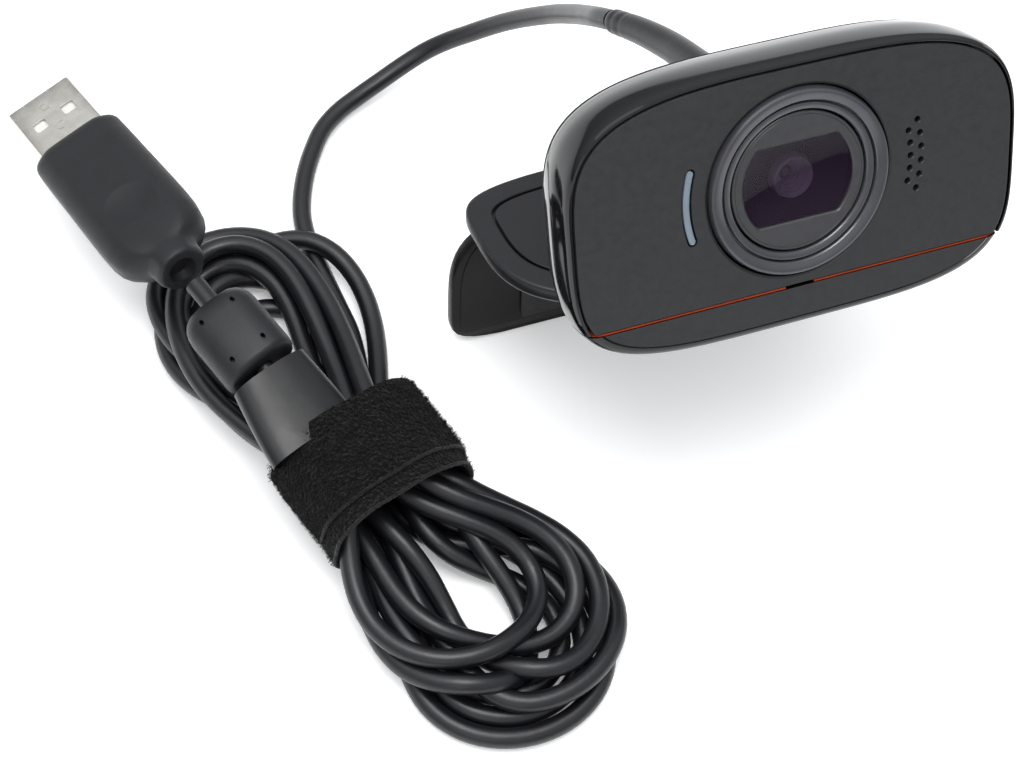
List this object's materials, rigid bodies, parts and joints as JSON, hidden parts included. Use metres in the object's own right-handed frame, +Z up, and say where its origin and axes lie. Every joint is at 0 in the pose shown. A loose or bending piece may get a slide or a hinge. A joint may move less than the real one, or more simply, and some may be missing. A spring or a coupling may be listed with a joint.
{
  "type": "clip-on webcam",
  "caption": "Wide webcam head on a swivelling base with a folding monitor clip and a tied data lead ending in a plug.",
  "frame": {"origin": "middle of the bottom of the head and its clip as they stand, on the surface, under the leg's end", "axes": "+X along the face towards the microphone holes, +Y from the face to the back, +Z up"},
  "size_m": [0.1274, 0.1317, 0.0827],
  "materials": {
    "face_plate": "fine brushed texture, matte dark grey",
    "gloss_black": "polished piano black",
    "satin_black": "satin black",
    "ring_grey": "satin dark grey lacquer on a turned ring",
    "window_violet": "polished, very dark violet window",
    "optics": "polished lens parts with a violet coating",
    "light_blue_grey": "translucent pale blue grey",
    "rubber": "matte soft pad",
    "board_green": "solder mask over glass fibre",
    "steel": "satin bare metal",
    "copper": "enamelled copper wire",
    "gold": "gold flash",
    "white_plastic": "off-white insulating plastic",
    "orange": "deep orange-red, satin gloss",
    "clip_grey": "satin bluish dark grey",
    "leg_black": "satin warm black",
    "cord_black": "satin blue-black flexible jacket",
    "loop_fabric": "fuzzy black loop tape with a stitched edge",
    "label_black": "satin black film"
  },
  "bodies": {
    "head": {"face_plate": "face_plate", "rim_frame": "gloss_black", "rear_housing": "satin_black", "housing_screw_left": "steel", "housing_screw_right": "steel", "bottom_plate": "satin_black", "lens_ring": "ring_grey", "lens_disc": "satin_black", "window_pane": "window_violet", "lens_shroud": "satin_black", "lens_holder": "satin_black", "focus_magnet_ring": "steel", "infrared_filter": "optics", "main_board": "board_green", "image_sensor": "steel", "signal_chip": "satin_black", "shield_can": "steel", "board_connector": "white_plastic", "light_chip": "white_plastic", "light_pipe": "light_blue_grey", "mic_boot": "rubber", "mic_capsule": "steel", "strain_relief": "cord_black", "cord_lead": "cord_black", "cord_hank": "cord_black", "cord_tail": "cord_black", "hank_tie": "loop_fabric", "ferrite_choke": "cord_black", "cable_label": "label_black", "plug_overmold": "cord_black", "plug_shell": "steel", "plug_tongue": "white_plastic", "plug_contact_1": "gold", "plug_contact_2": "gold", "plug_contact_3": "gold", "plug_contact_4": "gold"},
    "focus": {"lens_barrel": "optics", "focus_coil": "copper", "front_element": "optics", "rear_element": "optics"},
    "base": {"base_strip": "gloss_black", "accent_plate": "orange", "detent_tab": "gloss_black", "swivel_hub": "satin_black", "swivel_washer": "steel", "swivel_screw": "steel"},
    "clip": {"clip_plate": "clip_grey", "clip_pad": "clip_grey", "grip_pad": "rubber", "tilt_pin": "steel", "leg_pin": "steel"},
    "leg": {"clip_leg": "leg_black", "leg_pad": "rubber"}
  },
  "joints": [
    {"name": "lens_focus", "type": "slide", "parent": "head", "child": "focus", "axis": [0, -0.8572, 0.515], "range_m": [0, 0.0003], "stiffness_N_per_m": 40},
    {"name": "base_swivel", "type": "hinge", "parent": "head", "child": "base", "pos_m": [0, -0.01616, 0.05037], "axis": [0, 0.515, 0.8572], "range_deg": [-180, 0]},
    {"name": "clip_tilt", "type": "hinge", "parent": "base", "child": "clip", "pos_m": [0, -0.009, 0.03976], "axis": [1, 0, 0], "range_deg": [-12, 60]},
    {"name": "leg_fold", "type": "hinge", "parent": "clip", "child": "leg", "pos_m": [0, 0.01679, 0.02679], "axis": [1, 0, 0], "range_deg": [-88, 0]}
  ]
}
